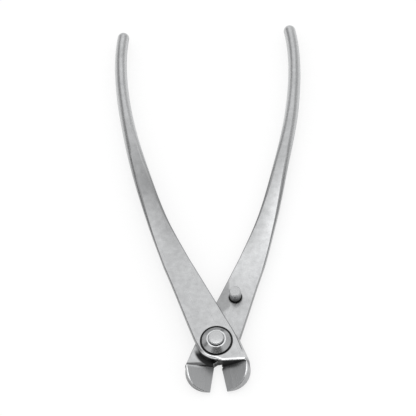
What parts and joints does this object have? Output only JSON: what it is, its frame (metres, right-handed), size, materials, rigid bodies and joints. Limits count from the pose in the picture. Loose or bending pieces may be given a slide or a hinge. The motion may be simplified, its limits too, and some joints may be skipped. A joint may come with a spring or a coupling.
{
  "type": "long-handled nippers",
  "caption": "Long-handled steel nippers with bevelled jaws, flat plates that turn into round rod handles, a riveted pivot with a conical washer and a closing stop pin.",
  "frame": {"origin": "on the pivot axis, at the flat end of the rivet's rear head, which the tool lies on", "axes": "+Z along the pivot axis towards the front washer, +Y midway between the handles, jaws towards -Y, +X to the right seen from the front"},
  "size_m": [0.096, 0.2078, 0.0138],
  "materials": {
    "lever_steel": "fine satin, bead blasted, with lengthwise polishing on the rods",
    "rivet_steel": "satin, hammered closed",
    "washer_steel": "turned, bright",
    "pin_steel": "satin"
  },
  "bodies": {
    "rear_half": {"rear_lever": "lever_steel", "pivot_rivet": "rivet_steel", "front_washer": "washer_steel", "rear_washer": "washer_steel", "stop_pin": "pin_steel"},
    "front_half": {"front_lever": "lever_steel"}
  },
  "joints": [
    {"name": "pivot", "type": "hinge", "parent": "rear_half", "child": "front_half", "pos_m": [0, 0, 0.0058], "axis": [0, 0, 1], "range_deg": [-19.9, 72]}
  ]
}
